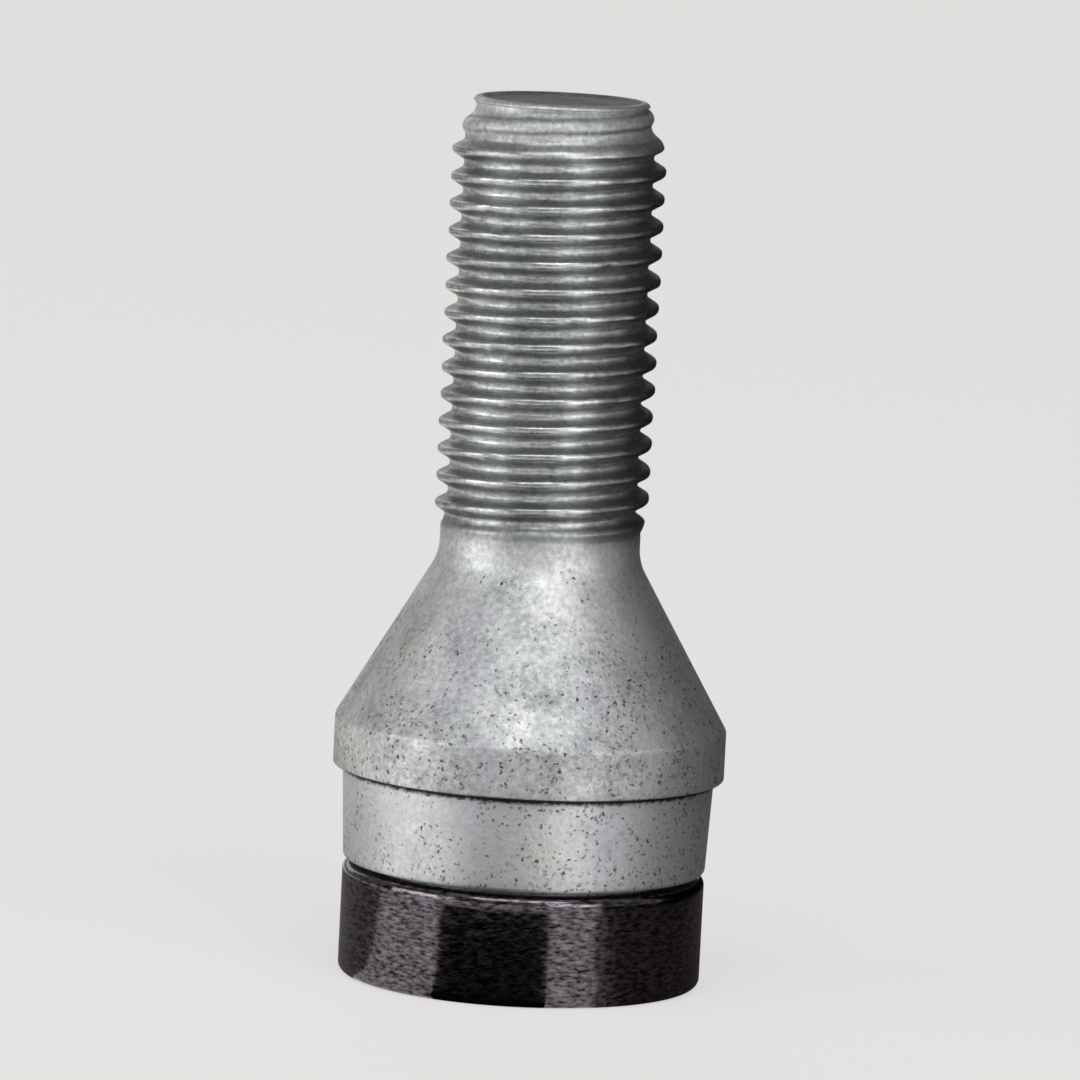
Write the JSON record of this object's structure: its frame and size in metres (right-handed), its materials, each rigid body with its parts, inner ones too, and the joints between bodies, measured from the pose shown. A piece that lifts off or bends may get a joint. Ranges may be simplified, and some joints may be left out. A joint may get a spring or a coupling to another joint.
{
  "type": "locking wheel bolt",
  "caption": "Locking wheel bolt with a fine metric thread, a cone seat, a round head with a wavy key groove in its end and a black collar that turns freely round it.",
  "frame": {"origin": "centre of the collar's outer face, which the bolt stands on", "axes": "+Z along the bolt's axis towards the tip of the thread; X through the first lobe of the key groove"},
  "size_m": [0.0216, 0.0216, 0.0487],
  "materials": {
    "zinc_flake_steel": "satin",
    "black_chrome_steel": "gloss",
    "spring_steel": "satin"
  },
  "bodies": {
    "bolt": {"bolt_body": "zinc_flake_steel"},
    "collar": {"spin_collar": "black_chrome_steel", "retaining_ring": "spring_steel"}
  },
  "joints": [
    {"name": "collar_spin", "type": "hinge", "parent": "bolt", "child": "collar", "pos_m": [0, 0, 0.00305], "axis": [0, 0, 1], "continuous": true}
  ]
}
